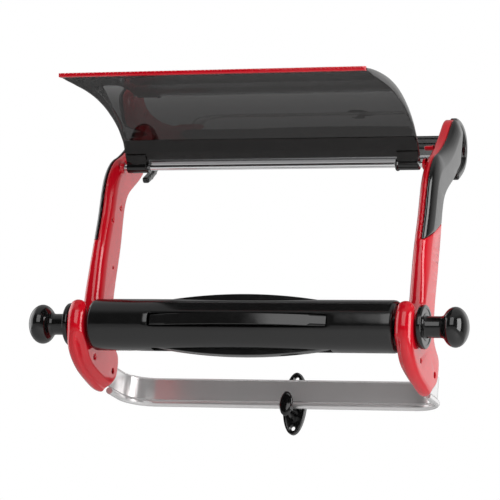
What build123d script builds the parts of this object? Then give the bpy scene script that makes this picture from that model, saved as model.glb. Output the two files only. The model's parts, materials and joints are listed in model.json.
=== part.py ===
"""Wall stand for a wide roll: two moulded arms, a lift-out spindle and a swing-down clear shield.

Millimetres, +Z up, +X to the right as the user faces the stand, -Y towards the user.
The origin lies on the wall, midway between the two wall hangers.
Outlines are written in the side view (y, z), counted from the spindle's axis.
"""
from build123d import *
import os

os.makedirs("parts", exist_ok=True)

# ---- driving dimensions -------------------------------------------------------------
WALL_GAP = 206.0         # spindle axis to the wall
HANGER_RISE = 300.0      # spindle axis up to the hangers
ARM_IN = 229.0           # centre plane to an arm's inner face
ARM_WIDTH = 26.0         # full width of the rounded lower arm
PLATE = 14.0             # thickness of the arm's upper plate, which carries the black cover
RIM_STEP = 7.0           # how far the foot's rim lies below its web on the inner face
ARM_OUT = ARM_IN + ARM_WIDTH

SHAFT_R = 11.0
SHAFT_HALF = 290.0
NOTCH_R = 11.5
DISC_R, DISC_T = 30.5, 8.0
KNOB_R, KNOB_HALF = 28.0, 20.0
KNOB_X = 304.5
CORE_R, CORE_WALL = 34.0, 3.0
CORE_HALF = 223.0
BEARING_GAP = 0.08
LEAF_HALF, LEAF_WIDTH, LEAF_T = 130.0, 16.0, 2.0
LEAF_BOW = 9.0           # how far a leaf stands proud of the tube at mid length

ROD_Y, ROD_Z, ROD_R = 53.0, 248.5, 4.5
SHIELD_HALF = 222.0
SHIELD_T = 2.6
CLIP_IN, CLIP_OUT = 190.0, 221.0
BARREL_R = 8.0

BAND_HALF = 240.0        # centre plane to the middle of the band's side
BAND_T = 3.0
BAND_TOP, BAND_LOW = -34.0, -67.0
BAND_BACK = 193.0
BAND_CORNER = 42.0
BEAD_R, BEAD_Z = 5.0, -72.0
SCREW_Y, SCREW_Z = 90.0, -47.0
SCREW_SEAT = 234.0

RAIL_LOW, RAIL_HIGH = 288.0, 308.0
RAIL_SCREW_Y, RAIL_SCREW_Z = 131.0, 298.0
HANGER_IN, HANGER_OUT = 235.0, 245.5

BLADE_T = 5.5

CLIP_X, CLIP_Z = 14.0, -67.0
CLIP_SPACING = 73.0
CLIP_HOLE_R = 3.2

# ---- helpers --------------------------------------------------------------------------
TO_WALL = Location((0, -WALL_GAP, -HANGER_RISE))


def side(face, low, high):
    """Extrude a side-view face (y, z) along X from low to high."""
    return extrude(Plane.YZ.offset(low) * face, high - low)


def bar_x(radius, low, high, y=0.0, z=0.0):
    """A round bar along X."""
    return Pos((low + high) / 2, y, z) * Rot(0, 90, 0) * Cylinder(radius, high - low)


def block(x, y, z):
    """A box given by its three spans."""
    centre = [(a + b) / 2 for a, b in (x, y, z)]
    return Pos(*centre) * Box(x[1] - x[0], y[1] - y[0], z[1] - z[0])


def solid_of(shape):
    """The single solid of a boolean result."""
    return shape.solids()[0] if len(shape.solids()) == 1 else shape


def save(name, shape):
    """Move a piece from the spindle's frame to the wall's frame and write it."""
    placed = TO_WALL * shape
    placed.label = name
    export_step(placed, f"parts/{name}.step")


def save_pair(name, right):
    """Write a right-hand piece and its mirror image."""
    save(f"{name}_right", right)
    save(f"{name}_left", mirror(right, Plane.YZ))


# ---- arm ------------------------------------------------------------------------------
LIMB_FRONT = [(12, 84), (13, 110), (16, 136), (20.5, 165), (23, 200), (28.5, 230), (39, 249), (60, 266)]
HEAD_FRONT = [(60, 266), (78, 279), (97, 297), (112, 318), (123, 333), (134, 339.5)]
HEAD_REAR = [(134, 339.5), (145, 334), (153, 322), (156, 304), (149, 282), (132, 263)]
LIMB_REAR = [(132, 263), (94, 226), (78, 206), (74, 186), (74, 139), (69, 85), (67, 50), (71, 10)]
FOOT_REAR = [(71, 10), (79, -4), (94, -14), (104, -21), (108, -34), (106, -50), (98, -66), (86, -79)]
FOOT_FRONT = [(86, -79), (68, -79.5), (46, -76), (15, -69), (-10, -58), (-28, -43), (-38, -24),
              (-42, -4), (-41, 10), (-36, 22)]
EAR_TOP = [(-36, 22), (-31, 29), (-24, 29), (-19, 22)]
EAR_REAR = [(-19, 22), (-14, 12), (-NOTCH_R, 0)]


def arm_outline():
    """The whole side view of an arm, notch included."""
    edges = [
        Spline(*LIMB_FRONT),
        Spline(*HEAD_FRONT),
        Spline(*HEAD_REAR),
        Spline(*LIMB_REAR),
        Spline(*FOOT_REAR),
        Spline(*FOOT_FRONT),
        Spline(*EAR_TOP),
        Spline(*EAR_REAR),
        ThreePointArc((-NOTCH_R, 0), (0, -NOTCH_R), (NOTCH_R, 0)),
        Spline((NOTCH_R, 0), (11.8, 30), (11.9, 55), (12, 84)),
    ]
    return make_face(Wire(edges))


def cover_zone():
    """The region above the cover's lower edge, open far beyond the arm on every other side."""
    low_edge = Spline((0, 122), (16, 129), (38, 143), (73, 167), (100, 190))
    rest = Polyline((100, 190), (250, 190), (250, 400), (0, 400), (0, 122))
    return make_face(Wire([low_edge, *rest.edges()]))


def rim_step():
    """The strip round the foot's lower edge that lies below the web's inner face."""
    web_edge = Spline((-60, -20), (-16, -30), (2, -47), (30, -57), (62, -63), (120, -64.5))
    rest = Polyline((120, -64.5), (120, -100), (-60, -100), (-60, -20))
    return make_face(Wire([web_edge, *rest.edges()]))


def arm_right():
    """Red moulding: a flat limb, a foot with a lower rim, and a thin plate for the cover."""
    arm = side(arm_outline(), ARM_IN, ARM_OUT)
    arm -= side(cover_zone(), ARM_IN + PLATE, ARM_OUT + 5)
    arm -= side(rim_step(), ARM_IN - 5, ARM_IN + RIM_STEP)
    for y, z, radius in ((35, 164, 2.5), (58.5, 188.5, 2.5), (19, -43, 3.5)):
        arm -= bar_x(radius, ARM_IN - 5, ARM_OUT + 5, y, z)
    arm -= bar_x(2.5, ARM_IN - 5, ARM_IN + 12, 52.5, 97.5)
    arm -= bar_x(ROD_R + 0.05, ARM_IN - 5, ARM_IN + 7, ROD_Y, ROD_Z)
    slot_half = BAND_T / 2 + 0.1
    band_span = (BAND_HALF - slot_half, BAND_HALF + slot_half)
    arm -= block(band_span, (72, 125), (BAND_LOW - 0.5, BAND_TOP + 0.5))
    arm -= bar_x(2.6, ARM_IN - 1, ARM_IN + PLATE + 1, RAIL_SCREW_Y, RAIL_SCREW_Z)
    arm -= bar_x(4.6, ARM_IN - 1, SCREW_SEAT, SCREW_Y, SCREW_Z)
    arm -= bar_x(2.1, SCREW_SEAT - 1, BAND_HALF, SCREW_Y, SCREW_Z)
    arm -= bar_x(4.6, BAND_HALF, ARM_OUT + 5, SCREW_Y, SCREW_Z)
    return solid_of(arm)


def cover_right():
    """Black shell on the outer face of the arm's head, hollow towards the arm."""
    zone = arm_outline() & cover_zone()
    shell = side(zone, ARM_IN + PLATE + 0.1, ARM_OUT)
    hollow = make_face(Wire([
        Spline((52, 172), (58, 200), (70, 238), (104, 280), (132, 322)),
        Spline((132, 322), (145, 312), (147, 296), (128, 272)),
        Spline((128, 272), (88, 232), (70, 206), (66, 185)),
        Line((66, 185), (52, 172)),
    ]))
    return solid_of(shell - side(hollow, ARM_IN + PLATE - 1, ARM_OUT - 4))


def hanger_right():
    """Black hook behind the arm's head, open downwards, which drops over the wall rail."""
    outer = Spline((126, 336), (138, 343), (155, 346), (180, 343), (199, 330),
                   (206, 312), (204, 292), (190, 274), (170, 259))
    tip = Line((170, 259), (164, 266))
    inner = Spline((164, 266), (182, 280), (194, 295), (196, 311),
                   (190, 323), (176, 333), (158, 337), (140, 322))
    root = Line((140, 322), (126, 336))
    hook = side(make_face(Wire([outer, tip, inner, root])), HANGER_IN, HANGER_OUT)
    return solid_of(hook - side(arm_outline(), ARM_IN - 1, ARM_OUT + 1))


# ---- band, wall clip and cross bars -------------------------------------------------------
def u_path(start_y, z):
    """U-shaped path from one arm round the wall side to the other arm."""
    return FilletPolyline(
        (BAND_HALF, start_y, z), (BAND_HALF, BAND_BACK, z), (-BAND_HALF, BAND_BACK, z),
        (-BAND_HALF, start_y, z), radius=BAND_CORNER)


def rear_band():
    """Bright steel strip with a rolled lower edge; its plain ends slide into the arms' feet."""
    height = BAND_TOP - BAND_LOW
    mid = (BAND_TOP + BAND_LOW) / 2
    strip_path = u_path(78, mid)
    strip_start = Plane(origin=(BAND_HALF, 78, mid), x_dir=(1, 0, 0), z_dir=(0, 1, 0))
    strip = sweep(strip_start * Rectangle(BAND_T, height), path=strip_path)
    bead_path = u_path(110, BEAD_Z + 0.5)
    bead_start = Plane(origin=(BAND_HALF, 110, BEAD_Z + 0.5), x_dir=(1, 0, 0), z_dir=(0, 1, 0))
    bead = sweep(bead_start * Circle(BEAD_R), path=bead_path)
    band = strip + bead
    for x in (-BAND_HALF, BAND_HALF):
        band -= bar_x(2.1, x - 5, x + 5, SCREW_Y, SCREW_Z)
    return solid_of(band)


def band_screws():
    """Two screws, one at each end of the band, put in from the arms' inner faces."""
    shank = bar_x(2.0, SCREW_SEAT, BAND_HALF + BAND_T / 2 + 3.0, SCREW_Y, SCREW_Z)
    head = bar_x(4.0, SCREW_SEAT - 2.6, SCREW_SEAT, SCREW_Y, SCREW_Z)
    head = chamfer(head.edges().sort_by(Axis.X)[:1], 0.9)
    right = solid_of(shank + head)
    return Compound(children=[right, mirror(right, Plane.YZ)])


def wall_clip():
    """Oval screw plate on the wall with a hooked arm that carries the band."""
    wall = WALL_GAP
    to_wall = Plane(origin=(CLIP_X, wall, CLIP_Z), x_dir=(1, 0, 0), z_dir=(0, -1, 0))
    plate = extrude(to_wall * Ellipse(17.5, 46), 6.0)
    rim = extrude(to_wall * (Ellipse(17.5, 46) - Ellipse(15, 43.5)), 7.5)
    clip = plate + rim
    arm_low, arm_high = BEAD_Z - BEAD_R - 5.2, BEAD_Z - BEAD_R - 0.2
    arm = block((CLIP_X - 6, CLIP_X + 6), (160, wall - 3), (arm_low, arm_high))
    gusset_face = make_face(Polyline((162, arm_low + 1), (wall - 3, arm_low + 1),
                                     (wall - 3, arm_low - 16), (162, arm_low + 1)))
    gusset = side(gusset_face, CLIP_X - 2, CLIP_X + 2)
    head_plane = Plane(origin=(CLIP_X, 166, CLIP_Z - 8), x_dir=(1, 0, 0), z_dir=(0, -1, 0))
    head = extrude(head_plane * Ellipse(10, 18), 7.0)
    head = fillet(head.edges(), 2.5)
    clip = clip + arm + gusset + head
    for dz in (-CLIP_SPACING / 2, CLIP_SPACING / 2):
        clip -= Pos(CLIP_X, wall - 4, CLIP_Z + dz) * Rot(90, 0, 0) * Cylinder(CLIP_HOLE_R, 20)
    return solid_of(clip)


def rear_rail():
    """Black box rail between the arms' heads, with two shallow grooves along its front."""
    rail = block((-ARM_IN, ARM_IN), (108, 142), (RAIL_LOW, RAIL_HIGH))
    rail = fillet(rail.edges().filter_by(Axis.X), 2.5)
    for z in (RAIL_LOW + 7.5, RAIL_HIGH - 5):
        rail -= block((-ARM_IN - 1, ARM_IN + 1), (107, 109.2), (z - 1, z + 1))
    for x in (-ARM_IN, ARM_IN):
        rail -= bar_x(2.55, x - 16, x + 16, RAIL_SCREW_Y, RAIL_SCREW_Z)
    return solid_of(rail)


def rail_screws():
    """Two screws through the arms' plates into the rail's ends, hidden under the covers."""
    shank = bar_x(2.5, ARM_IN - 14, ARM_IN + PLATE + 0.2, RAIL_SCREW_Y, RAIL_SCREW_Z)
    head = bar_x(4.5, ARM_IN + PLATE + 0.1, ARM_IN + PLATE + 3.1, RAIL_SCREW_Y, RAIL_SCREW_Z)
    head = chamfer(head.edges().sort_by(Axis.X)[-1:], 0.8)
    right = solid_of(shank + head)
    return Compound(children=[right, mirror(right, Plane.YZ)])


def guide_bar():
    """Bright flat bar that steadies the arms just behind the hinge rod."""
    bar = block((-ARM_IN, ARM_IN), (78, 94), (263.5, 269))
    return solid_of(fillet(bar.edges().filter_by(Axis.X), 1.5))


def hinge_rod():
    """Plated rod on which the shield turns; its ends sit in blind holes in the arms."""
    half = ARM_IN + 6.5
    rod = bar_x(ROD_R, -half, half, ROD_Y, ROD_Z)
    return solid_of(chamfer(rod.edges(), 0.8))


def stop_pegs():
    """Red pegs moulded on the arms' inner faces, above the hinge rod."""
    peg = bar_x(3.6, ARM_IN - 13, ARM_IN, 87, 282.5)
    peg = fillet(peg.edges().sort_by(Axis.X)[:1], 1.5)
    return Compound(children=[solid_of(peg), mirror(solid_of(peg), Plane.YZ)])


# ---- shield -----------------------------------------------------------------------------
SHEET_LOW, SHEET_BEND = (45, 258), (26, 281.5)
SHEET_TIP = (-218, 300)
SHEET_CURVE = [SHEET_BEND, (3, 297), (-30, 310), (-70, 318),
               (-115, 318.5), (-160, 313), (-195, 306), SHEET_TIP]
FLANGE_DEPTHS = [1.5, 4, 7, 9, 9, 7.5, 4.5, 0.5]     # of the sheet's side flanges, along the curve


def shifted(points, distance):
    """The same run of points, moved sideways to the run by a distance."""
    moved = []
    for index, point in enumerate(points):
        before = Vector(*points[max(index - 1, 0)])
        after = Vector(*points[min(index + 1, len(points) - 1)])
        along = (after - before).normalized()
        moved.append((point[0] - along.Y * distance, point[1] + along.X * distance))
    return moved


def sheet_face(thickness):
    """Side view of the curved sheet: a straight foot and a smooth sweep to the tip."""
    run = [SHEET_LOW, *SHEET_CURVE]
    over = shifted(run, -thickness / 2)
    under = shifted(run, thickness / 2)
    tip = Line(over[-1], under[-1])
    foot = Line(under[0], over[0])
    return make_face(Wire([Spline(*over), tip, Spline(*reversed(under)), foot]))


def flange_face():
    """Side view of the flange that turns down along each side of the sheet."""
    top = shifted(SHEET_CURVE, 0)
    low = []
    for index, depth in enumerate(FLANGE_DEPTHS):
        low.append(shifted(SHEET_CURVE, SHIELD_T / 2 + depth)[index])
    ends = [Line(top[-1], low[-1]), Line(low[0], top[0])]
    return make_face(Wire([Spline(*top), ends[0], Spline(*reversed(low)), ends[1]]))


def foot_axes():
    """Directions along the sheet's straight foot, and square to it away from the user."""
    along = (Vector(*SHEET_BEND) - Vector(*SHEET_LOW)).normalized()
    return along, Vector(along.Y, -along.X)


def shield():
    """Smoked clear sheet, curved over the front of the roll."""
    sheet = side(sheet_face(SHIELD_T), -SHIELD_HALF, SHIELD_HALF)
    sheet += side(flange_face(), SHIELD_HALF - SHIELD_T, SHIELD_HALF)
    sheet += side(flange_face(), -SHIELD_HALF, -SHIELD_HALF + SHIELD_T)
    return solid_of(sheet)


def tear_edge():
    """Saw-toothed red strip clipped over the shield's tip."""
    pitch, depth = 6.0, 3.0
    half = SHIELD_HALF - 1
    count = int(2 * half / pitch)
    root_y, tip_y = 0.0, -6.0
    points = [(-half, root_y)]
    step = 2 * half / count
    for index in range(count):
        points.append((-half + index * step, tip_y))
        points.append((-half + (index + 0.5) * step, tip_y - depth))
    points += [(half, tip_y), (half, root_y), (-half, root_y)]
    blade = extrude(make_face(Polyline(*points)), BLADE_T)
    tilt = Rot(12.5, 0, 0)
    return Pos(0, SHEET_TIP[0] - 0.5, SHEET_TIP[1] - BLADE_T / 2) * tilt * solid_of(blade)


def hinge_clip_right():
    """Black clip: a barrel round the rod and a ribbed tongue behind the sheet."""
    along, normal = foot_axes()
    start = Vector(*SHEET_LOW)

    def corner(distance, height):
        point = start + along * distance + normal * height
        return (point.X, point.Y)

    near, far = SHIELD_T / 2 + 0.05, SHIELD_T / 2 + 4.0
    tongue = make_face(Polyline(corner(-6, near), corner(28, near), corner(28, far),
                                corner(-8, far + 3), corner(-6, near)))
    lip = make_face(Polyline(corner(-7, -near - 3), corner(9, -near - 3), corner(9, -near),
                             corner(-1, -near), corner(-1, near + 0.5), corner(-7, near + 0.5),
                             corner(-7, -near - 3)))
    rib = make_face(Polyline(corner(-4, far - 1), corner(27, far - 1), corner(24, far + 2),
                             corner(-2, far + 2), corner(-4, far - 1)))
    clip = side(tongue, CLIP_IN, CLIP_OUT) + side(lip, CLIP_IN, CLIP_OUT)
    clip += bar_x(BARREL_R, CLIP_IN, CLIP_OUT, ROD_Y, ROD_Z)
    clip += bar_x(BARREL_R + 1.2, CLIP_IN - 3, CLIP_IN + 1, ROD_Y, ROD_Z)
    for x in (CLIP_IN + 5, (CLIP_IN + CLIP_OUT) / 2, CLIP_OUT - 5):
        clip += side(rib, x - 1.2, x + 1.2)
    clip -= side(sheet_face(SHIELD_T + 0.1), CLIP_IN - 5, CLIP_OUT + 5)
    clip -= bar_x(ROD_R + BEARING_GAP, CLIP_IN - 10, CLIP_OUT + 10, ROD_Y, ROD_Z)
    return solid_of(clip)


# ---- spindle ------------------------------------------------------------------------------
def shaft():
    """Black shaft that rests in the two notches and carries the core."""
    bar = bar_x(SHAFT_R, -SHAFT_HALF, SHAFT_HALF)
    return solid_of(chamfer(bar.edges(), 1.0))


def disc_right():
    """Round guide disc outside the arm, with a raised edge."""
    low = ARM_OUT + 2
    disc = bar_x(DISC_R, low, low + DISC_T)
    disc = fillet(disc.edges(), 2.5)
    neck = bar_x(15, low, KNOB_X - 14)
    bore = bar_x(SHAFT_R, low - 5, KNOB_X)
    return solid_of(disc + neck - bore)


def knob_right():
    """Flattened ball grip with a socket for the shaft's end."""
    upper_half = Pos(0, KNOB_R) * Rectangle(4 * KNOB_HALF, 2 * KNOB_R)
    ball = revolve(Ellipse(KNOB_HALF, KNOB_R) & upper_half, Axis.X, 360)
    ball = Pos(KNOB_X, 0, 0) * ball
    ball -= bar_x(15.1, KNOB_X - KNOB_HALF - 5, KNOB_X - 13.9)
    ball -= bar_x(SHAFT_R + 0.05, KNOB_X - KNOB_HALF - 5, SHAFT_HALF + 0.05)
    return solid_of(ball)


def core_tube():
    """Black tube that turns on the shaft, with four slots for the leaves."""
    tube = bar_x(CORE_R, -CORE_HALF, CORE_HALF)
    tube = chamfer(tube.edges(), 2.5)
    tube -= bar_x(CORE_R - CORE_WALL, -CORE_HALF - 1, CORE_HALF + 1)
    slot_half = LEAF_WIDTH / 2 + 1
    length = LEAF_HALF + 3
    for turn in range(4):
        slot = block((-length, length), (-slot_half, slot_half), (CORE_R - 8, CORE_R + 5))
        tube -= Rot(turn * 90, 0, 0) * slot
    return solid_of(tube)


def core_cap_right():
    """End bush: fits the tube and runs on the shaft."""
    cap = bar_x(CORE_R - CORE_WALL - 0.05, CORE_HALF - 18, CORE_HALF - 1)
    cap = chamfer(cap.edges(), 0.8)
    return solid_of(cap - bar_x(SHAFT_R + BEARING_GAP, CORE_HALF - 25, CORE_HALF + 5))


def leaf():
    """Bowed spring leaf in the top slot, which grips the roll's core."""
    rise = LEAF_BOW + 2.5
    low = CORE_R - 3.4
    top = ThreePointArc((-LEAF_HALF, low + LEAF_T), (0, low + LEAF_T + rise), (LEAF_HALF, low + LEAF_T))
    under = ThreePointArc((LEAF_HALF, low), (0, low + rise), (-LEAF_HALF, low))
    ends = [
        Line((LEAF_HALF, low + LEAF_T), (LEAF_HALF, low)),
        Line((-LEAF_HALF, low), (-LEAF_HALF, low + LEAF_T)),
    ]
    profile = make_face(Wire([top, ends[0], under, ends[1]]))
    return solid_of(extrude(Plane.XZ * profile, LEAF_WIDTH / 2, both=True))


# ---- write every piece ---------------------------------------------------------------------
save_pair("arm", arm_right())
save_pair("cover", cover_right())
save_pair("hanger", hanger_right())
save("rear_band", rear_band())
save("band_screws", band_screws())
save("wall_clip", wall_clip())
save("rear_rail", rear_rail())
save("rail_screws", rail_screws())
save("guide_bar", guide_bar())
save("hinge_rod", hinge_rod())
save("stop_pegs", stop_pegs())
save("shield", shield())
save("tear_edge", tear_edge())
save_pair("hinge_clip", hinge_clip_right())
save("shaft", shaft())
save_pair("disc", disc_right())
save_pair("knob", knob_right())
save("core_tube", core_tube())
save_pair("core_cap", core_cap_right())
for turn, name in enumerate(("top", "rear", "bottom", "front")):
    save(f"leaf_{name}", Rot(-turn * 90, 0, 0) * leaf())
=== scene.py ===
"""The looks of the wall roll stand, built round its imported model.

Lengths are millimetres in the row frame, unless a comment says otherwise.
"""
import json
import math

import bmesh
import bpy
import numpy as np
import openvdb as vdb
from mathutils import Matrix, Vector


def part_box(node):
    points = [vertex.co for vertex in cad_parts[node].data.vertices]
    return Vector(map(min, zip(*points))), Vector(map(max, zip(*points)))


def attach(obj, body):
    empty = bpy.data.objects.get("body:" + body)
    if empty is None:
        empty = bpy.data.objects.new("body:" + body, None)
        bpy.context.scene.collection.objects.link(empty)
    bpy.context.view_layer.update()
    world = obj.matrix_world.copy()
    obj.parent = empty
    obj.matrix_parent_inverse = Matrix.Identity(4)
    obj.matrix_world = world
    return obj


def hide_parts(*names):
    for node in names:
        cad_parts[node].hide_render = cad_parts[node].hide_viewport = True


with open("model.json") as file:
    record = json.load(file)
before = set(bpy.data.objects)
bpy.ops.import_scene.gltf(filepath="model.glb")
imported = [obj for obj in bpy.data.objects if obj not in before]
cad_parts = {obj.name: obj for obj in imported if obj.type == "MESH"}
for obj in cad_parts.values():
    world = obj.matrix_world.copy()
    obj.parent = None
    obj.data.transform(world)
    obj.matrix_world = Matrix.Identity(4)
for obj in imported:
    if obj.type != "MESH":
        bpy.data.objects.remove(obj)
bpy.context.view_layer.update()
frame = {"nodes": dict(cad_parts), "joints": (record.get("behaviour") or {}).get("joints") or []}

MM = 0.001
JOINTS = {joint["name"]: joint for joint in frame["joints"]}


def joint_axis(name):
    """Where a hinge's axis crosses the side view: (y, z) in millimetres."""
    return JOINTS[name]["pos_m"][1] / MM, JOINTS[name]["pos_m"][2] / MM


SPINDLE = joint_axis("core_spin")
ROD = joint_axis("shield_hinge")
SIDES = (("right", 1), ("left", -1))


def node_span(node, axis):
    """The lowest and highest place of a CAD node along one axis, in millimetres."""
    low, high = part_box(node)
    return low[axis] / MM, high[axis] / MM


# ---- meshes ------------------------------------------------------------------------------
def finish_piece(obj, body, material, node=None, smooth_angle=40):
    """Shade a piece, give it its material, hang it on its body's empty, and hide the CAD parts it replaces.
    """
    obj.data.shade_smooth()
    obj.data.set_sharp_from_angle(angle=math.radians(smooth_angle))
    obj.data.materials.clear()
    obj.data.materials.append(material)
    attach(obj, body)
    if node:
        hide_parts(*([node] if isinstance(node, str) else node))
    return obj


def new_object(name, points, faces):
    """A mesh object from millimetre points."""
    mesh = bpy.data.meshes.new(name)
    mesh.from_pydata([tuple(MM * value for value in point) for point in points], [], faces)
    mesh.validate()
    obj = bpy.data.objects.new(name, mesh)
    bpy.context.scene.collection.objects.link(obj)
    return obj


def outward(obj):
    """Turn a closed piece's faces outwards."""
    work = bmesh.new()
    work.from_mesh(obj.data)
    bmesh.ops.recalc_face_normals(work, faces=work.faces)
    work.to_mesh(obj.data)
    work.free()
    return obj


def applied(obj, kind, **settings):
    """Add one modifier and make its result the piece's own mesh."""
    modifier = obj.modifiers.new(kind.lower(), kind)
    for key, value in settings.items():
        setattr(modifier, key, value)
    bpy.context.view_layer.update()
    shaped = bpy.data.meshes.new_from_object(obj.evaluated_get(bpy.context.evaluated_depsgraph_get()))
    old = obj.data
    obj.modifiers.clear()
    obj.data = shaped
    bpy.data.meshes.remove(old)
    return obj


def curve_through(points, steps=8):
    """A smooth run through the points (centripetal Catmull-Rom)."""
    p = [np.array(point, float) for point in points]
    p = [2 * p[0] - p[1], *p, 2 * p[-1] - p[-2]]
    run = []
    for a, b, c, d in zip(p, p[1:], p[2:], p[3:]):
        t1 = np.linalg.norm(b - a) ** 0.5
        t2 = t1 + np.linalg.norm(c - b) ** 0.5
        t3 = t2 + np.linalg.norm(d - c) ** 0.5
        for t in np.linspace(t1, t2, steps, endpoint=False):
            ab = a * (t1 - t) / t1 + b * t / t1
            bc = b * (t2 - t) / (t2 - t1) + c * (t - t1) / (t2 - t1)
            cd = c * (t3 - t) / (t3 - t2) + d * (t - t2) / (t3 - t2)
            abc = ab * (t2 - t) / t2 + bc * t / t2
            bcd = bc * (t3 - t) / (t3 - t1) + cd * (t - t1) / (t3 - t1)
            run.append(abc * (t2 - t) / (t2 - t1) + bcd * (t - t1) / (t2 - t1))
    return [*run, p[-2]]


def rounded(points, radius, steps=5, closed=False):
    """A 2D run of straight lines with its corners rounded. Points may carry a radius of their own."""
    result = []
    count = len(points)
    for index, point in enumerate(points):
        here = np.array(point[:2], float)
        wanted = point[2] if len(point) > 2 else radius
        at_end = not closed and index in (0, count - 1)
        if at_end or wanted <= 0:
            result.append(here)
            continue
        before = np.array(points[index - 1][:2], float) - here
        after = np.array(points[(index + 1) % count][:2], float) - here
        reach = min(wanted, 0.49 * np.linalg.norm(before), 0.49 * np.linalg.norm(after))
        start = here + before / np.linalg.norm(before) * reach
        end = here + after / np.linalg.norm(after) * reach
        for t in np.linspace(0, 1, steps + 1):
            result.append((1 - t) ** 2 * start + 2 * t * (1 - t) * here + t * t * end)
    return result


def lathe(name, profile, centre, segments=96):
    """A turned piece about an X axis. The profile is a run of (x, radius)."""
    points, faces, rings = [], [], []
    for x, radius in profile:
        if radius < 1e-6:
            rings.append([len(points)])
            points.append((x, *centre))
            continue
        ring = []
        for step in range(segments):
            angle = 2 * math.pi * step / segments
            ring.append(len(points))
            points.append((x, centre[0] + radius * math.cos(angle), centre[1] + radius * math.sin(angle)))
        rings.append(ring)
    for low, high in zip(rings, rings[1:]):
        for step in range(segments):
            after = (step + 1) % segments
            if len(low) == 1:
                faces.append((low[0], high[after], high[step]))
            elif len(high) == 1:
                faces.append((low[step], low[after], high[0]))
            else:
                faces.append((low[step], low[after], high[after], high[step]))
    return outward(new_object(name, points, faces))


def skin(name, points, count):
    """A closed skin over rings of points, each ring with the same count; the end rings are capped."""
    rows = len(points) // count
    faces = []
    for row in range(rows - 1):
        for column in range(count):
            after = (column + 1) % count
            faces.append((row * count + column, row * count + after,
                          (row + 1) * count + after, (row + 1) * count + column))
    faces += [tuple(range(count)), tuple((rows - 1) * count + k for k in range(count))]
    return outward(new_object(name, points, faces))


def prism(name, loop, low, high, edge=0.6, angle=30):
    """A side-view loop (y, z) carried along X, with its end edges eased."""
    count = len(loop)
    points = [(low, *point) for point in loop] + [(high, *point) for point in loop]
    faces = [tuple(range(count)), tuple(range(2 * count - 1, count - 1, -1))]
    for step in range(count):
        after = (step + 1) % count
        faces.append((step, after, count + after, count + step))
    obj = outward(new_object(name, points, faces))
    if edge:
        applied(obj, "BEVEL", width=edge * MM, segments=3, limit_method="ANGLE",
                angle_limit=math.radians(angle), use_clamp_overlap=True)
    return obj


# ---- moulded shapes: distance fields that round the CAD pieces' edges ----------------------
class Field:
    """Signed distances in millimetres on a grid: negative inside a solid."""

    def __init__(self, values, origin, voxel, reach):
        self.values, self.origin, self.voxel, self.reach = values, origin, voxel, reach

    @classmethod
    def of_mesh(cls, points, faces, voxel, reach, like=None):
        quads = np.array([f for f in faces if len(f) == 4], np.uint32).reshape(-1, 4)
        triangles = np.array([f for f in faces if len(f) == 3], np.uint32).reshape(-1, 3)
        points = np.asarray(points, np.float32)
        grid = vdb.FloatGrid.createLevelSetFromPolygons(
            points, triangles=triangles, quads=quads,
            transform=vdb.createLinearTransform(voxelSize=voxel), halfWidth=reach / voxel)
        if like is None:
            low = np.floor(points.min(0) / voxel).astype(int) - int(reach / voxel) - 1
            high = np.ceil(points.max(0) / voxel).astype(int) + int(reach / voxel) + 2
            shape = high - low
        else:
            low, shape = like.origin, like.values.shape
        values = np.empty(shape, np.float32)
        grid.copyToArray(values, ijk=tuple(int(v) for v in low))
        return cls(values, low, voxel, reach)

    @classmethod
    def of_node(cls, node, voxel, reach):
        mesh = frame["nodes"][node].data
        points = np.array([v.co for v in mesh.vertices]) / MM
        mesh.calc_loop_triangles()
        return cls.of_mesh(points, [tuple(t.vertices) for t in mesh.loop_triangles], voxel, reach)

    def surface(self, level=0.0):
        """Points and quads of the surface at one distance."""
        grid = vdb.FloatGrid(self.reach)
        grid.copyFromArray(np.ascontiguousarray(self.values, np.float32))
        points, quads = grid.convertToQuads(level)
        return (points + self.origin) * self.voxel, quads

    def with_values(self, values):
        return Field(values, self.origin, self.voxel, self.reach)

    def opened(self, radius):
        """Convex edges rounded by a radius; what is thinner than twice the radius goes."""
        points, quads = self.surface(-radius)
        shrunk = Field.of_mesh(points, quads, self.voxel, self.reach, like=self)
        return self.with_values(shrunk.values - radius)

    def axes(self):
        """Coordinates of the grid in millimetres, ready to combine with the values."""
        spans = [(self.origin[i] + np.arange(self.values.shape[i])) * self.voxel for i in range(3)]
        return np.meshgrid(*spans, indexing="ij", sparse=True)

    def piece(self, name, mirrored=False, keep=None):
        """The surface as an object, thinned where it is flat."""
        points, quads = self.surface()
        if mirrored:
            points = points * np.array([-1, 1, 1])
        obj = outward(new_object(name, points.tolist(), quads.tolist()))
        if keep:
            applied(obj, "DECIMATE", decimate_type="COLLAPSE", ratio=keep)
        return obj


def smoothstep(values, low, high):
    t = np.clip((values - low) / (high - low), 0, 1)
    return t * t * (3 - 2 * t)


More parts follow.
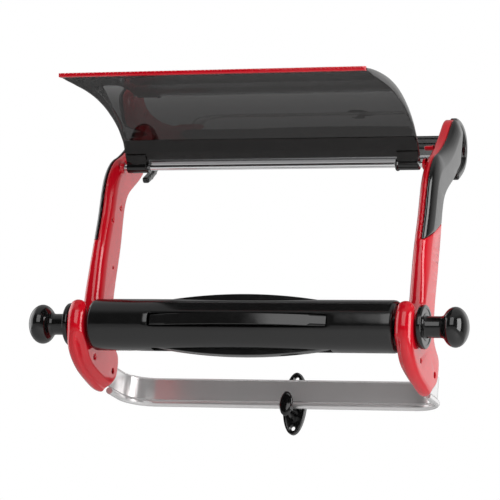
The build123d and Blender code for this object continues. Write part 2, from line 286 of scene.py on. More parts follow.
# ---- materials -----------------------------------------------------------------------------
class Nodes:
    """A small helper round one material's node tree."""

    def __init__(self, name, slot):
        self.material = bpy.data.materials.new(name)
        self.material.use_nodes = True
        self.material["slot"] = slot
        self.tree = self.material.node_tree
        self.shader = self.tree.nodes["Principled BSDF"]

    def add(self, kind, **values):
        node = self.tree.nodes.new(kind)
        for key, value in values.items():
            if key in node.inputs:
                node.inputs[key].default_value = value
            else:
                setattr(node, key, value)
        return node

    def link(self, source, target):
        self.tree.links.new(source, target)

    def place(self, scale=(1, 1, 1)):
        """Object coordinates, stretched."""
        coordinates = self.add("ShaderNodeTexCoord")
        mapping = self.add("ShaderNodeMapping")
        mapping.inputs["Scale"].default_value = scale
        self.link(coordinates.outputs["Object"], mapping.inputs["Vector"])
        return mapping.outputs["Vector"]

    def noise(self, scale, detail=3.0, stretch=(1, 1, 1)):
        texture = self.add("ShaderNodeTexNoise")
        texture.inputs["Scale"].default_value = scale
        texture.inputs["Detail"].default_value = detail
        self.link(self.place(stretch), texture.inputs["Vector"])
        return texture.outputs["Fac"]

    def ramp(self, source, low, high):
        """Map a factor of 0 to 1 onto two values."""
        mapper = self.add("ShaderNodeMapRange")
        mapper.inputs["From Min"].default_value = 0.3
        mapper.inputs["From Max"].default_value = 0.7
        mapper.inputs["To Min"].default_value = low
        mapper.inputs["To Max"].default_value = high
        self.link(source, mapper.inputs["Value"])
        return mapper.outputs["Result"]

    def tint(self, source, dark, light):
        mix = self.add("ShaderNodeMix", data_type="RGBA")
        for socket, value in ((mix.inputs[6], dark), (mix.inputs[7], light)):
            socket.default_value = (*value, 1)
        self.link(source, mix.inputs["Factor"])
        self.link(mix.outputs[2], self.shader.inputs["Base Color"])

    def bump(self, source, strength, distance=0.0004):
        bump = self.add("ShaderNodeBump")
        bump.inputs["Strength"].default_value = strength
        bump.inputs["Distance"].default_value = distance
        self.link(source, bump.inputs["Height"])
        self.link(bump.outputs["Normal"], self.shader.inputs["Normal"])


def moulded(name, slot, dark, light, rough, coat=0.0, grain=0.02, grain_scale=900):
    """Moulded plastic: slight colour drift, uneven gloss and a fine skin."""
    nodes = Nodes(name, slot)
    nodes.tint(nodes.noise(14, 4), dark, light)
    nodes.link(nodes.ramp(nodes.noise(60, 5), rough * 0.75, rough * 1.25), nodes.shader.inputs["Roughness"])
    nodes.bump(nodes.noise(grain_scale, 2), grain)
    nodes.shader.inputs["Coat Weight"].default_value = coat
    nodes.shader.inputs["Coat Roughness"].default_value = 0.04
    nodes.shader.inputs["IOR"].default_value = 1.52
    return nodes.material


def metal(name, slot, dark, light, rough, stretch=(1, 1, 1), grain=0.05, scale=500, full=1.0):
    """Metal with fine marks drawn out along its length."""
    nodes = Nodes(name, slot)
    marks = nodes.noise(scale, 4, stretch)
    nodes.tint(marks, dark, light)
    nodes.link(nodes.ramp(marks, rough * 0.7, rough * 1.3), nodes.shader.inputs["Roughness"])
    nodes.bump(marks, grain, 0.0002)
    nodes.shader.inputs["Metallic"].default_value = full
    return nodes.material


def smoked(name, slot, tone, alpha, rough):
    """Smoked clear sheet."""
    nodes = Nodes(name, slot)
    nodes.tint(nodes.noise(8, 3), tuple(0.8 * value for value in tone), tone)
    nodes.link(nodes.ramp(nodes.noise(40, 4), rough * 0.7, rough * 1.3), nodes.shader.inputs["Roughness"])
    nodes.shader.inputs["Alpha"].default_value = alpha
    nodes.shader.inputs["IOR"].default_value = 1.40
    return nodes.material


RED = moulded("red_gloss", "red_moulding", (0.50, 0.004, 0.014), (0.62, 0.004, 0.013), 0.10)
BLACK = moulded("black_gloss", "black_gloss", (0.004, 0.004, 0.004), (0.006, 0.006, 0.006), 0.10)
COVER_BLACK = moulded("black_cover", "black_gloss", (0.004, 0.004, 0.004), (0.006, 0.006, 0.006), 0.14)
SATIN = moulded("black_satin", "black_satin", (0.006, 0.006, 0.006), (0.010, 0.010, 0.010), 0.25, grain=0.06)
CORE_BLACK = moulded("black_core", "black_gloss", (0.005, 0.005, 0.005), (0.008, 0.008, 0.008), 0.14)
SMOKED = smoked("smoked_sheet", "smoked_clear", (0.006, 0.0045, 0.004), 0.82, 0.03)
STEEL = metal("bright_steel", "bright_steel", (0.60, 0.59, 0.59), (0.76, 0.75, 0.75), 0.20,
              stretch=(1, 1, 14), full=0.55)
CHROME = metal("plated_rod", "plated_steel", (0.74, 0.74, 0.75), (0.84, 0.84, 0.85), 0.09,
               stretch=(1, 6, 6), grain=0.01)
ALUMINIUM = metal("grey_bar", "grey_aluminium", (0.34, 0.34, 0.35), (0.44, 0.44, 0.45), 0.30,
                  stretch=(1, 20, 20))
DARK_STEEL = metal("dark_screws", "dark_fastener", (0.03, 0.03, 0.03), (0.06, 0.06, 0.06), 0.35)


# ---- arms, covers, hangers --------------------------------------------------------------------
ARM_IN, ARM_OUT = node_span("arm_right", 0)
COVER_IN = node_span("cover_right", 0)[0]
PLATE_OUT = ARM_IN + 14.0
GRID = 1.2
LIMB_START = 36.0        # height above the spindle where foot and ear end
FAR = 99.0


def flat_field(outline, raw, reach=24.0):
    """Signed distance to a side-view outline, far beyond the reach of the slice it comes from."""
    block = np.repeat(outline[None, :, :], 40, axis=0)
    block[:2] = block[-2:] = raw.reach
    points, quads = Field(block, np.array([0, *raw.origin[1:]]), raw.voxel, raw.reach).surface()
    like = Field(np.empty((1, *outline.shape), np.float32), np.array([20, *raw.origin[1:]]), raw.voxel, 0)
    return Field.of_mesh(points, quads, raw.voxel, reach, like=like).values


def slice_at(raw, x):
    """The side-view distances of a field at one place along X."""
    return raw.values[int(round(x / raw.voxel)) - raw.origin[0]]


def corner_blend(beyond, depth, radius_x, radius_depth):
    """Distance to a rounded edge. beyond: how far past the face; depth: how far inside the outline."""
    a = np.maximum(beyond + radius_x, 0) / radius_x
    b = np.maximum(radius_depth - depth, 0) / radius_depth
    scale = np.minimum(radius_x, radius_depth)
    inside = np.maximum(beyond, -depth)
    return np.where((a > 0) & (b > 0), np.maximum((np.hypot(a, b) - 1) * scale, inside), inside)


def facing_user(flat, voxel, floor_too=True):
    """1 where the nearest edge faces the user (or the floor), 0 where it faces the wall or up."""
    slope_y, slope_z = np.gradient(flat[0], voxel)
    facing = -slope_y
    if floor_too:
        facing = np.maximum(facing, np.where(slope_z < 0, -slope_z - 0.25, 0))
    return smoothstep(facing, 0.05, 0.5)[None]


RAIL_SCREW = (131, 298, 2.6)
PLATE_HOLES = [(35, 164, 2.5), (58.5, 188.5, 2.5), RAIL_SCREW]
FOOT_HOLE = (19, -43, 3.5)
LIMB_HOLE = (52.5, 97.5, 2.5)
LIMB_HOLE_DEPTH = 12.0
SCREW_HOLE = (90, -47, 4.6)
SCREW_SEAT, BAND_HALF = 234.0, 240.0
STEP = 7.0               # how far the foot's rim lies below its web


def carved_arm():
    """The right arm: a softly rounded limb, a full round along the foot, and a thin plate above."""
    raw = Field.of_node("arm_right", GRID, 6.0)
    x, y, z = raw.axes()
    y, z = y - SPINDLE[0], z - SPINDLE[1]
    silhouette, low_part = raw.values.min(axis=0), slice_at(raw, ARM_OUT - 4)
    for a, b, radius in (*PLATE_HOLES, FOOT_HOLE, SCREW_HOLE):
        disc = (np.hypot(y - a, z - b) - radius - 2)[0]
        silhouette = np.minimum(silhouette, disc)
        if b < 100:
            low_part = np.minimum(low_part, disc)
    flat = flat_field(silhouette, raw)
    low_flat = flat_field(low_part, raw)
    web = flat_field(slice_at(raw, ARM_IN + 3), raw)
    drop = smoothstep(web, 0.0, 9.0) * smoothstep(-10 - z, -6, 6)
    front = facing_user(flat, raw.voxel)
    ear = smoothstep(-6 - y, -3, 3) * smoothstep(z, -14, -4) * smoothstep(60 - z, 0, 10)
    front = np.maximum(front, ear)
    at_foot = np.maximum(1 - smoothstep(z - 0.3 * y, 8, 40), ear)
    at_head = smoothstep(z, 215, 250)
    limb = (1 - at_foot) * (1 - at_head)
    outer = 2.0 + front * (11.0 * at_foot + 3.0 * limb)
    behind = front_field(silhouette, raw)
    soft = (1 - at_foot) * (1 - smoothstep(z, 240, 300))
    inner = 1.8 + front * (11.0 * at_foot + 1.5 * limb + 1.5 * at_head)
    inner_x = inner - 6.4 * drop * front
    inner_side = corner_blend(ARM_IN + STEP * drop - x, -flat, np.maximum(inner_x, 1.5), inner)
    slope = corner_blend(ARM_IN - x, -behind, 3.0 + 9.5 * soft, 3.0 + 17.0 * soft)
    inner_side = np.maximum(inner_side, np.where(z > LIMB_START, slope, -FAR))
    full = np.maximum(corner_blend(x - ARM_OUT, -flat, outer, outer), low_flat)
    swell = front_swell(x, z, behind)
    full = np.maximum(full, np.where(z > LIMB_START, swell, -FAR))
    plate = corner_blend(x - PLATE_OUT, -flat, 2.0 + 2.5 * front, 2.0 + 2.5 * front)
    solid = np.maximum(np.minimum(full, plate), inner_side)
    for a, b, radius in (*PLATE_HOLES, FOOT_HOLE):
        mouth = radius + 1.6 * (1 - smoothstep(x - ARM_IN, 0, 1.6))
        solid = np.maximum(solid, mouth - np.hypot(y - a, z - b))
    a, b, radius = LIMB_HOLE
    blind = np.minimum(radius - np.hypot(y - a, z - b), ARM_IN + LIMB_HOLE_DEPTH - x)
    solid = np.maximum(solid, blind)
    a, b, radius = SCREW_HOLE
    bore = radius - np.hypot(y - a, z - b)
    solid = np.maximum(solid, np.minimum(bore, SCREW_SEAT - x))
    solid = np.maximum(solid, np.minimum(bore, x - BAND_HALF))
    return raw.with_values(solid.astype(np.float32))


def front_field(outline, raw):
    """Distance behind the outline's front edge alone: the outline is drawn out towards the wall."""
    return flat_field(np.minimum.accumulate(outline, axis=0), raw, 44.0)


def front_swell(x, z, front_flat):
    """The curved front of limb and cover, an ellipse that is shallow at the foot and deep at the head."""
    deep = smoothstep(z, 40, 130)
    return corner_blend(x - ARM_OUT, -front_flat, 9.0 + 2.5 * deep, 12.0 + 26.0 * deep)


def swollen_cover():
    """The right cover: the arm's outline carried through its depth, with a swelling front."""
    raw = Field.of_node("cover_right", GRID, 6.0)
    outline = slice_at(raw, ARM_OUT - 2)
    flat = flat_field(outline, raw)
    x, _, z = raw.axes()
    z = z - SPINDLE[1]
    eased = corner_blend(x - ARM_OUT, -flat, 2.5, 2.5)
    shape = np.maximum(front_swell(x, z, front_field(outline, raw)), eased)
    return raw.with_values(np.maximum(shape, COVER_IN - x).astype(np.float32))


arm = carved_arm()
cover = swollen_cover()
hanger = Field.of_node("hanger_right", 0.9, 8.0).opened(2.0)
for label, sign in SIDES:
    mirrored = sign < 0
    finish_piece(arm.piece(f"arm_{label}_moulding", mirrored, 0.35), "stand", RED, f"arm_{label}")
    finish_piece(cover.piece(f"cover_{label}_shell", mirrored, 0.35), "stand", COVER_BLACK, f"cover_{label}")
    finish_piece(hanger.piece(f"hanger_{label}_hook", mirrored, 0.4), "stand", BLACK, f"hanger_{label}")

# ---- spindle and core ----------------------------------------------------------------------
SHAFT_R = 11.0
CORE_R, CORE_INNER_R = 34.0, 31.0
LEAF_HALF, LEAF_WIDTH, LEAF_T, LEAF_RISE = 130.0, 16.0, 2.0, 11.5


def mirrored_profile(profile, sign):
    """A turned profile for the right-hand end, or its mirror image for the left."""
    return [(sign * x, radius) for x, radius in profile]


def arc_run(centre, radii, start, end, steps=8):
    """Points of (x, radius) along an ellipse's arc, angles in degrees."""
    turns = np.radians(np.linspace(start, end, steps + 1))
    return [(centre[0] + radii[0] * math.cos(t), centre[1] + radii[1] * math.sin(t)) for t in turns]


def shaft_profile():
    """Round bar with a shallow collar groove just outside each of the core's ends."""
    half = node_span("shaft", 0)[1]
    right = [(215, SHAFT_R), (225.4, SHAFT_R), (225.8, SHAFT_R - 0.7), (227.2, SHAFT_R - 0.7),
             (227.6, SHAFT_R), (half - 1, SHAFT_R), (half, SHAFT_R - 1), (half, 0)]
    return [*mirrored_profile(right[::-1], -1), *right]


def disc_profile():
    """Guide disc with a rounded rim and a stepped outer face."""
    low, high = node_span("disc_right", 0)
    neck_end, face = high, low + 8
    rim = arc_run((low + 2.5, 28.0), (2.5, 2.5), 180, 90, 5)
    outer = arc_run((face - 2.2, 28.3), (2.2, 2.2), 90, 0, 5)
    return [(low, SHAFT_R), *rim, *outer, (face, 25.5), (face - 0.8, 24.8), (face - 0.8, 19.5), (face, 18.6),
            *arc_run((face + 2.4, 17.4), (2.4, 2.4), 180, 270, 4), (neck_end, 15.0), (neck_end, SHAFT_R)]


def knob_profile():
    """Flattened ball on a flared neck."""
    low, high = node_span("knob_right", 0)
    middle = (low + high) / 2
    ball = arc_run((middle, 0), (high - middle, 28.0), 142, 0, 34)
    flare = [(low - 1.0, 15.15), (low + 0.8, 15.5), (low + 2.0, 16.2)]
    return [(low - 1.0, SHAFT_R), *flare, *ball]


def tube_mesh():
    """The core's wall with four long slots, as an open grid that is then thickened."""
    half = node_span("core_tube", 0)[1]
    slot_half, slot_end = LEAF_WIDTH / 2 + 1, LEAF_HALF + 3
    edge = math.asin(slot_half / CORE_R)
    turns = []
    for quarter in range(4):
        centre = math.pi / 2 * quarter
        turns += [centre + t for t in np.linspace(-edge, edge, 5)]
        turns += [centre + t for t in np.linspace(edge, math.pi / 2 - edge, 17)[1:-1]]
    corner = 4.0
    ends = [corner * (1 - math.cos(t)) for t in np.linspace(0, math.pi / 2, 6)]
    right = [*np.linspace(0, slot_end, 14), *np.linspace(slot_end, half - corner, 9)[1:],
             *[half - corner + corner * math.sin(t) for t in np.linspace(0, math.pi / 2, 6)][1:]]
    inset = [*([0] * (14 + 8)), *ends[1:]]
    stations = [(-x, d) for x, d in zip(right[:0:-1], inset[:0:-1])] + list(zip(right, inset))
    points, faces = [], []
    count = len(turns)
    for x, drop in stations:
        radius = CORE_R - drop * 0.62
        points += [(x, SPINDLE[0] + radius * math.cos(t), SPINDLE[1] + radius * math.sin(t)) for t in turns]
    for row in range(len(stations) - 1):
        middle = (stations[row][0] + stations[row + 1][0]) / 2
        for column in range(count):
            if abs(middle) < slot_end and column % 20 < 4:
                continue
            after = (column + 1) % count
            faces.append((row * count + column, row * count + after,
                          (row + 1) * count + after, (row + 1) * count + column))
    obj = new_object("core_tube_wall", points, faces)
    obj = applied(obj, "SOLIDIFY", thickness=(CORE_R - CORE_INNER_R - 0.3) * MM, offset=1.0)
    return applied(outward(obj), "BEVEL", width=0.35 * MM, segments=2, limit_method="ANGLE",
                   angle_limit=math.radians(50))


def leaf_mesh(turn):
    """One bowed spring leaf: slightly crowned across, with eased edges."""
    low = CORE_R - 3.4
    points = []
    across = [(-LEAF_WIDTH / 2, 0.9), (-LEAF_WIDTH / 2 + 0.7, 0.25), (-4, 0.1), (0, 0), (4, 0.1),
              (LEAF_WIDTH / 2 - 0.7, 0.25), (LEAF_WIDTH / 2, 0.9)]
    section = [(side_way, LEAF_T - drop) for side_way, drop in across]
    section += [(LEAF_WIDTH / 2, None), (-LEAF_WIDTH / 2, None)]
    chord = LEAF_HALF
    radius = (chord ** 2 + LEAF_RISE ** 2) / (2 * LEAF_RISE)
    stations = np.linspace(-chord, chord, 49)
    for x in stations:
        height = low + math.sqrt(radius ** 2 - x ** 2) - (radius - LEAF_RISE)
        for side_way, up in section:
            y, z = side_way, low if up is None else height + up
            points.append((x, SPINDLE[0] + y * math.cos(turn) - z * math.sin(turn),
                           SPINDLE[1] + y * math.sin(turn) + z * math.cos(turn)))
    return skin("leaf", points, len(section))


def cap_profile():
    """End bush of the core, dished round the shaft."""
    outer = node_span("core_cap_right", 0)[1]
    return [(outer - 16, CORE_INNER_R - 0.1), (outer - 0.8, CORE_INNER_R - 0.1), (outer, CORE_INNER_R - 0.9),
            (outer, 27.5), (outer - 1.2, 26.5), (outer - 1.2, 16.5), (outer - 0.2, 15.5), (outer - 0.2, 12.0),
            (outer - 0.8, SHAFT_R + 0.2), (outer - 16, SHAFT_R + 0.2), (outer - 16, CORE_INNER_R - 0.1)]


finish_piece(lathe("shaft_bar", shaft_profile(), SPINDLE, 64), "spindle", BLACK, "shaft")
TURNED = (("disc", disc_profile, "spindle", BLACK, "disc", 40),
          ("knob", knob_profile, "spindle", BLACK, "knob", 60),
          ("cap", cap_profile, "core", CORE_BLACK, "core_cap", 40))
for label, sign in SIDES:
    for name, profile, body, material, node, angle in TURNED:
        piece = lathe(f"{name}_{label}_turned", mirrored_profile(profile(), sign), SPINDLE)
        finish_piece(piece, body, material, f"{node}_{label}", angle)
finish_piece(tube_mesh(), "core", CORE_BLACK, "core_tube")
LEAF_TURNS = {"leaf_top": 0.0, "leaf_rear": -math.pi / 2, "leaf_bottom": math.pi, "leaf_front": math.pi / 2}
for name, turn in LEAF_TURNS.items():
    piece = leaf_mesh(turn)
    piece.name = name + "_spring"
    finish_piece(piece, "core", CORE_BLACK, name)

# ---- band, wall clip and cross bars ------------------------------------------------------------
BAND_BACK, BAND_CORNER = 193.0, 42.0
BAND_TOP, BAND_LOW, BEAD_R = -34.0, -67.0, 5.0


def placed(y, z):
    """A side-view point measured from the spindle, moved to the row frame."""
    return y + SPINDLE[0], z + SPINDLE[1]


def band_path(start_y):
    """Stations of the U-shaped path: place and outward direction, from the left arm round to the right."""
    stations = []
    straight = [(-BAND_HALF, y) for y in np.linspace(start_y, BAND_BACK - BAND_CORNER, 12)]
    stations += [(point, (-1, 0)) for point in straight]
    centre = (-BAND_HALF + BAND_CORNER, BAND_BACK - BAND_CORNER)
    for t in np.linspace(math.pi, math.pi / 2, 17)[1:]:
        out = (math.cos(t), math.sin(t))
        stations.append(((centre[0] + BAND_CORNER * out[0], centre[1] + BAND_CORNER * out[1]), out))
    half_back = BAND_HALF - BAND_CORNER
    stations += [((x, BAND_BACK), (0, 1)) for x in np.linspace(-half_back, half_back, 24)[1:-1]]
    return stations + [((-point[0], point[1]), (-out[0], out[1])) for point, out in
                       reversed([s for s in stations if s[0][0] <= -half_back + 1e-6])]


def ellipse_ring(radii, count=72):
    """Points round an ellipse about its own centre."""
    turns = np.linspace(0, 2 * math.pi, count + 1)[:-1]
    return [(radii[0] * math.cos(t), radii[1] * math.sin(t)) for t in turns]


def swept_band(name, section, start_y):
    """A closed section of (outwards, height) carried round the band's path."""
    points = []
    for (x, y), out in band_path(start_y):
        for reach, height in section:
            side_y, side_z = placed(y + out[1] * reach, height)
            points.append((x + out[0] * reach, side_y, side_z))
    return skin(name, points, len(section))


def make_band():
    """Steel strip with a small lip on top and a rolled bead below."""
    strip = [(-1.5, BAND_LOW + 1), (-1.5, BAND_TOP - 2.4), (-2.6, BAND_TOP - 2.0), (-2.9, BAND_TOP - 1.0),
             (-2.4, BAND_TOP - 0.2), (-1.2, BAND_TOP), (0.9, BAND_TOP), (1.5, BAND_TOP - 0.6),
             (1.5, BAND_LOW + 1)]
    finish_piece(swept_band("band_strip", strip, 78.0), "stand", STEEL, "rear_band")
    middle = BAND_LOW - 4.5
    bead = [(reach, middle + height) for reach, height in ellipse_ring((BEAD_R, BEAD_R), 24)]
    finish_piece(swept_band("band_bead", bead, 110.0), "stand", STEEL)


def stacked(name, rings):
    """A closed skin through rings of points: the first and last ring are capped."""
    return skin(name, [point for ring in rings for point in ring], len(rings[0]))


def make_wall_clip():
    """Oval wall plate with a rim and two screw holes, and a hooked arm with an oval head."""
    clip_x = sum(node_span("wall_clip", 0)) / 2
    wall = 206.0
    clip_z = -67.0

    def rings(levels, centre_z):
        result = []
        for radii, y in levels:
            result.append([(clip_x + a, *placed(y, centre_z + b)) for a, b in ellipse_ring(radii)])
        return result

    plate = stacked("wall_clip_plate", rings([
        ((17.5, 46), wall - 0.1), ((17.5, 46), wall - 6.4), ((16.9, 45.4), wall - 7.3),
        ((16.0, 44.5), wall - 7.5),
        ((15.2, 43.7), wall - 7.1), ((14.8, 43.3), wall - 6.2), ((12, 40.5), wall - 6.0)], clip_z))
    for rise in (-36.5, 36.5):
        cutter = stacked("cutter", [
            [(clip_x + a, *placed(y, clip_z + rise + b)) for a, b in ellipse_ring((radius, radius), 40)]
            for radius, y in ((3.2, wall + 5), (3.2, wall - 4.0), (5.4, wall - 6.2), (5.4, wall - 12))])
        applied(plate, "BOOLEAN", object=cutter, operation="DIFFERENCE", solver="EXACT")
        bpy.data.objects.remove(cutter)
    finish_piece(plate, "stand", BLACK, "wall_clip", 30)
    head = stacked("wall_clip_head", rings([
        ((8.4, 16.2), 166.0), ((9.6, 17.6), 165.2), ((10, 18), 163.8),
        ((10, 18), 162.2), ((9.5, 17.4), 160.6),
        ((8.3, 15.8), 159.6), ((6.0, 12.0), 159.0), ((2.0, 4.0), 158.7)], clip_z - 8))
    finish_piece(head, "stand", BLACK)
    low, high = -82.2, -77.2
    arm = prism("wall_clip_arm", [placed(*p) for p in rounded(
        [(163, low), (163, high), (wall - 4, high), (wall - 4, low - 2)], 1.0)], clip_x - 6, clip_x + 6, 1.0)
    finish_piece(arm, "stand", BLACK)
    gusset = prism("wall_clip_gusset", [placed(*p) for p in [
        (164, low + 1), (wall - 4, low + 1), (wall - 4, low - 15), (188, low - 8)]],
        clip_x - 2, clip_x + 2, 0.5)
    finish_piece(gusset, "stand", BLACK)


def make_rails():
    """The black box rail, the bright bar and rod, the pegs and the screws."""
    half = ARM_IN
    loop = [(108, 288), (108, 294.5, 0.3), (109.6, 294.9, 0.3), (109.6, 296.1, 0.3), (108, 296.5, 0.3),
            (108, 302, 0.3), (109.6, 302.4, 0.3), (109.6, 303.6, 0.3), (108, 304, 0.3),
            (108, 308), (142, 308), (142, 288)]
    rail = prism("rear_rail_tube", [placed(*p) for p in rounded(loop, 2.5, 5, True)], -half, half, 0)
    finish_piece(rail, "stand", SATIN, "rear_rail", 50)
    bar = prism("guide_bar_flat", [placed(*p) for p in rounded(
        [(78, 263.5), (78, 269), (94, 269), (94, 263.5)], 1.5, 4, True)], -half, half, 0)
    finish_piece(bar, "stand", ALUMINIUM, "guide_bar", 50)
    rod_half = node_span("hinge_rod", 0)[1]
    rod = [(-rod_half, 0), (-rod_half, 3.7), (-rod_half + 0.8, 4.5),
           (rod_half - 0.8, 4.5), (rod_half, 3.7), (rod_half, 0)]
    finish_piece(lathe("hinge_rod_bar", rod, ROD, 48), "stand", CHROME, "hinge_rod")
    for label, sign in SIDES:
        peg = [(half + 0.5, 4.4), (half - 1, 4.2), (half - 2.5, 3.6), (half - 11, 3.5),
               (half - 12.4, 2.9), (half - 13, 1.8), (half - 13, 0)]
        piece = lathe(f"stop_peg_{label}", mirrored_profile(peg, sign), placed(87, 282.5), 40)
        finish_piece(piece, "stand", RED, "stop_pegs")
        boss = [(half + 2, 9.0), (half - 0.6, 8.4), (half - 2.2, 7.6), (half - 2.6, 6.6),
                (half - 2.6, 4.7), (half + 2, 4.7)]
        finish_piece(lathe(f"rod_boss_{label}", mirrored_profile(boss, sign), ROD, 48), "stand", RED)
    for label, sign in SIDES:
        seat = SCREW_SEAT
        head = [(seat, 2.0), (seat, 4.0), (seat - 1.8, 4.0), (seat - 2.6, 3.1), (seat - 2.6, 2.4),
                (seat - 1.2, 1.9), (seat - 1.2, 0)]
        piece = lathe(f"band_screw_{label}", mirrored_profile(head, sign), placed(*SCREW_HOLE[:2]), 36)
        finish_piece(piece, "stand", DARK_STEEL, "band_screws")
        head_x = PLATE_OUT + 0.1
        screw = [(head_x - 12, 0), (head_x - 12, 2.5), (head_x, 2.5), (head_x, 4.5),
                 (head_x + 2.2, 4.5), (head_x + 3, 3.7), (head_x + 3, 0)]
        piece = lathe(f"rail_screw_{label}", mirrored_profile(screw, sign), placed(*RAIL_SCREW[:2]), 40)
        finish_piece(piece, "stand", DARK_STEEL, "rail_screws")


make_band()
make_wall_clip()
make_rails()

# ---- shield ---------------------------------------------------------------------------------------
SHIELD_HALF, SHEET_T = 222.0, 2.6
SHEET_FOOT = (45.0, 258.0)
SHEET_RUN = [(26, 281.5), (3, 297), (-30, 310), (-70, 318), (-115, 318.5), (-160, 313),
             (-195, 306), (-218, 300)]
FLANGE_DEPTHS = [1.5, 4, 7, 9, 9, 7.5, 4.5, 0.5]


def sheet_stations():
    """Points along the sheet's middle in side view, each with its downward normal and flange depth."""
    curved = curve_through(SHEET_RUN, 9)
    depths = np.interp(np.linspace(0, 1, len(curved)), np.linspace(0, 1, len(FLANGE_DEPTHS)), FLANGE_DEPTHS)
    straight = [np.array(SHEET_FOOT) * (1 - t) + np.array(SHEET_RUN[0]) * t
                for t in np.linspace(0, 1, 7)[:-1]]
    run = straight + curved
    depths = [0.0] * len(straight) + list(depths)
    stations = []
    for index, point in enumerate(run):
        along = run[min(index + 1, len(run) - 1)] - run[max(index - 1, 0)]
        along = along / np.linalg.norm(along)
        stations.append((point, np.array([-along[1], along[0]]), depths[index]))
    return stations


def make_sheet():
    """Smoked sheet with a flange turned down along each side."""
    half, t = SHIELD_HALF, SHEET_T
    points = []
    inner = [half - t - 1.2, half - t - 0.35, half - t]
    spread = [*np.linspace(0, half - 12, 12), half - 8]
    for point, normal, depth in sheet_stations():
        under = []
        for x in spread:
            under.append((x, t / 2))
        lip = min(1.0, depth / 3)
        under += [(inner[0], t / 2), (inner[1], t / 2 + 0.35 * lip), (inner[2], t / 2 + 1.2 * lip)]
        under += [(half - t, t / 2 + max(depth - 0.8, 1.2 * lip)), (half - t + 0.5, t / 2 + depth),
                  (half - 0.5, t / 2 + depth), (half, t / 2 + max(depth - 0.8, 0.0))]
        over = [(half, -t / 2 + 1.0), (half - 0.3, -t / 2 + 0.3), (half - 1.0, -t / 2)]
        over += [(x, -t / 2) for x in spread[::-1]]
        right = under + over
        loop = right + [(-x, h) for x, h in right[::-1][1:-1]]
        for x, height in loop:
            place = point + normal * height
            points.append((x, *placed(*place)))
    return skin("shield_sheet", points, len(loop))


def make_tear_edge():
    """Red strip folded over the sheet's tip, with a row of saw teeth along its edge."""
    tip = np.array([-218.5, 297.25])
    along = np.array([math.cos(math.radians(12.5)), math.sin(math.radians(12.5))])
    up = np.array([-along[1], along[0]])
    half, pitch, depth = SHIELD_HALF - 1, 6.0, 3.0

    def at(reach, height):
        return placed(*(tip + along * reach + up * height))

    section = rounded([(2.6, -0.4), (-6.0, 0.0), (-6.0, 5.4), (1.8, 5.9)], 0.9, 3, True)
    strip = prism("tear_strip", [at(*p) for p in section], -half, half, 0.3)
    finish_piece(strip, "shield", RED, "tear_edge")
    tooth = ((0, 1, 2), (5, 4, 3), (0, 3, 4, 1), (1, 4, 5, 2), (2, 5, 3, 0))
    points, faces = [], []
    count = int(2 * half / pitch)
    step = 2 * half / count
    for index in range(count):
        left = -half + index * step
        base = len(points)
        for root_height, tip_height in ((3.0, 4.0), (5.2, 4.6)):
            points.append((left + 0.4, *at(-5.6, root_height)))
            points.append((left + step - 0.4, *at(-5.6, root_height)))
            points.append((left + step / 2, *at(-6 - depth, tip_height)))
        faces += [tuple(base + k for k in face) for face in tooth]
    finish_piece(outward(new_object("tear_teeth", points, faces)), "shield", RED)


def make_clip(label, sign):
    """Black hinge clip: a barrel round the rod, a tongue behind the sheet and three ribs."""
    clip_in, clip_out = 190.0, 221.0
    along = np.array(SHEET_RUN[0]) - np.array(SHEET_FOOT)
    along = along / np.linalg.norm(along)
    normal = np.array([along[1], -along[0]])

    def corner(reach, height):
        return placed(*(np.array(SHEET_FOOT) + along * reach + normal * height))

    def span(low, high):
        return (sign * low, sign * high) if sign > 0 else (sign * high, sign * low)

    near, far = SHEET_T / 2 + 0.05, SHEET_T / 2 + 4.0
    tongue = [corner(*p) for p in rounded([(-6, near), (28, near), (28, far), (-8, far + 3)], 1.0, 3, True)]
    finish_piece(prism(f"clip_tongue_{label}", tongue, *span(clip_in, clip_out), 0.6), "shield", SMOKED,
                 f"hinge_clip_{label}")
    lip = [corner(*p) for p in rounded([(-7, -near - 3), (9, -near - 2.2), (9, -near), (-1, -near),
                                        (-1, near),
                                        (-7, near)], 0.8, 3, True)]
    finish_piece(prism(f"clip_lip_{label}", lip, *span(clip_in, clip_out), 0.6), "shield", SMOKED)
    for x in (clip_in + 5, (clip_in + clip_out) / 2, clip_out - 5):
        outline = [(-4, far - 1), (27, far - 1), (24, far + 2), (-2, far + 2)]
        rib = [corner(*p) for p in rounded(outline, 0.8, 3, True)]
        finish_piece(prism(f"clip_rib_{label}", rib, *span(x - 1.2, x + 1.2), 0.3), "shield", SMOKED)
    barrel = [(187, 4.6), (187, 8.4), (187.8, 9.2), (190.2, 9.2), (191, 8.4), (191.4, 8.0),
              (220.4, 8.0), (221, 7.4),
              (221, 4.6), (187, 4.6)]
    finish_piece(lathe(f"clip_barrel_{label}", [(sign * x, r) for x, r in barrel], ROD, 64), "shield", BLACK)

finish_piece(make_sheet(), "shield", SMOKED, "shield", 50)
make_tear_edge()
for label, sign in SIDES:
    make_clip(label, sign)

# ---- floor, light and camera ----------------------------------------------------------------
FLOOR_Z = -1.75
CAMERA_AT = Vector((1.4266, -4.0346, -1.2307))
CAMERA_LOOK = Vector((-0.3387, 0.9080, 0.2467))
CAMERA_ROLL = math.radians(5.16)
CAMERA_LENS = 216.0


def make_floor():
    """A plain pale floor far below the stand."""
    corners = [(-9000, -9000, 0), (9000, -9000, 0), (9000, 9000, 0), (-9000, 9000, 0)]
    floor = new_object("floor", corners, [(0, 1, 2, 3)])
    floor.location.z = FLOOR_Z
    paint = bpy.data.materials.new("pale_floor")
    paint.use_nodes = True
    paint.node_tree.nodes["Principled BSDF"].inputs["Base Color"].default_value = (0.82, 0.82, 0.82, 1)
    paint.node_tree.nodes["Principled BSDF"].inputs["Roughness"].default_value = 0.9
    floor.data.materials.append(paint)


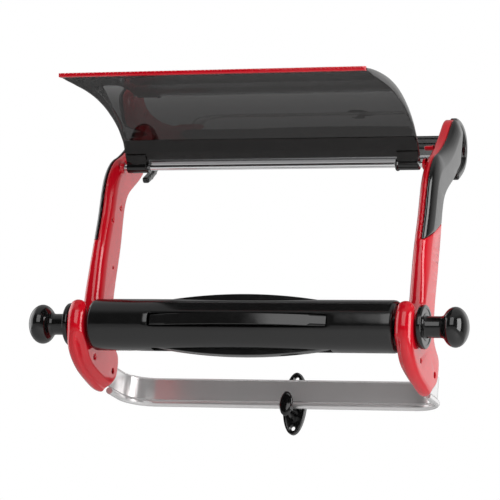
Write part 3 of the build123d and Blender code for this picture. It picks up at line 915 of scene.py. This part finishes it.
def soft_box(name, place, size, power, target=(0, -0.15, -0.2)):
    """A rectangular soft light aimed at the stand."""
    lamp = bpy.data.lights.new(name, "AREA")
    lamp.shape = "RECTANGLE"
    lamp.size, lamp.size_y = size
    lamp.energy = power
    lamp.specular_factor = 0.0
    holder = bpy.data.objects.new(name, lamp)
    holder.location = place
    holder.rotation_euler = (Vector(target) - Vector(place)).to_track_quat("-Z", "Y").to_euler()
    bpy.context.scene.collection.objects.link(holder)


AROUND = [(-180, 0.6), (-165, 0.3), (-132, 0.3), (-118, 2.4), (-72, 2.4), (-60, 0.08), (-20, 0.02),
          (105, 0.03), (138, 0.6), (156, 1.2), (168, 1.2), (178, 0.7)]


def make_world():
    """Studio surroundings by direction: a soft box on the left, white behind and right, dark in front."""
    world = bpy.data.worlds.new("studio")
    bpy.context.scene.world = world
    world.use_nodes = True
    tree = world.node_tree

    def maths(operation, *values):
        node = tree.nodes.new("ShaderNodeMath")
        node.operation = operation
        for socket, value in zip(node.inputs, values):
            if isinstance(value, (int, float)):
                socket.default_value = value
            else:
                tree.links.new(value, socket)
        return node.outputs[0]

    coordinates = tree.nodes.new("ShaderNodeTexCoord")
    split = tree.nodes.new("ShaderNodeSeparateXYZ")
    tree.links.new(coordinates.outputs["Generated"], split.inputs["Vector"])
    turn = maths("ARCTAN2", split.outputs["X"], maths("MULTIPLY", split.outputs["Y"], -1.0))
    ramp = tree.nodes.new("ShaderNodeValToRGB")
    ramp.color_ramp.interpolation = "EASE"
    elements = ramp.color_ramp.elements
    while len(elements) < len(AROUND):
        elements.new(0.5)
    for element, (angle, level) in zip(elements, AROUND):
        element.position = (angle + 180) / 360
        element.color = (level / 3, level / 3, level / 3, 1)
    tree.links.new(maths("ADD", maths("DIVIDE", turn, 2 * math.pi), 0.5), ramp.inputs["Fac"])
    level = maths("MULTIPLY", ramp.outputs["Color"], 3.0)
    steep = tree.nodes.new("ShaderNodeMapRange")
    steep.interpolation_type = "SMOOTHSTEP"
    steep.inputs["From Min"].default_value = 0.50
    steep.inputs["From Max"].default_value = 0.85
    tree.links.new(maths("ABSOLUTE", split.outputs["Z"]), steep.inputs["Value"])
    blend = tree.nodes.new("ShaderNodeMix")
    tree.links.new(steep.outputs["Result"], blend.inputs["Factor"])
    tree.links.new(level, blend.inputs["A"])
    under = tree.nodes.new("ShaderNodeMapRange")
    under.inputs["From Min"].default_value = -0.5
    under.inputs["From Max"].default_value = 0.5
    under.inputs["To Min"].default_value = 0.06
    under.inputs["To Max"].default_value = 0.5
    tree.links.new(split.outputs["Z"], under.inputs["Value"])
    tree.links.new(under.outputs["Result"], blend.inputs["B"])
    seen = tree.nodes.new("ShaderNodeLightPath")
    choose = tree.nodes.new("ShaderNodeMix")
    choose.inputs["B"].default_value = 1.0
    tree.links.new(blend.outputs["Result"], choose.inputs["A"])
    tree.links.new(seen.outputs["Is Camera Ray"], choose.inputs["Factor"])
    tree.links.new(choose.outputs["Result"], tree.nodes["Background"].inputs["Strength"])
    tree.nodes["Background"].inputs["Color"].default_value = (1, 1, 1, 1)


def make_camera():
    """The viewpoint: low, to the right, and slightly tilted."""
    lens = bpy.data.cameras.new("camera")
    lens.lens = CAMERA_LENS
    lens.sensor_width = 36.0
    lens.clip_end = 100
    camera = bpy.data.objects.new("camera", lens)
    aim = CAMERA_LOOK.to_track_quat("-Z", "Y").to_matrix() @ Matrix.Rotation(CAMERA_ROLL, 3, "Z")
    camera.matrix_world = Matrix.Translation(CAMERA_AT) @ aim.to_4x4()
    bpy.context.scene.collection.objects.link(camera)
    bpy.context.scene.camera = camera


make_floor()
make_world()
make_camera()
soft_box("front_fill", (0.4, -3.2, 0.9), (2.5, 2.5), 50)
soft_box("right_fill", (3.0, -0.6, 0.2), (1.6, 2.4), 75)
bpy.context.scene.view_settings.view_transform = "Standard"
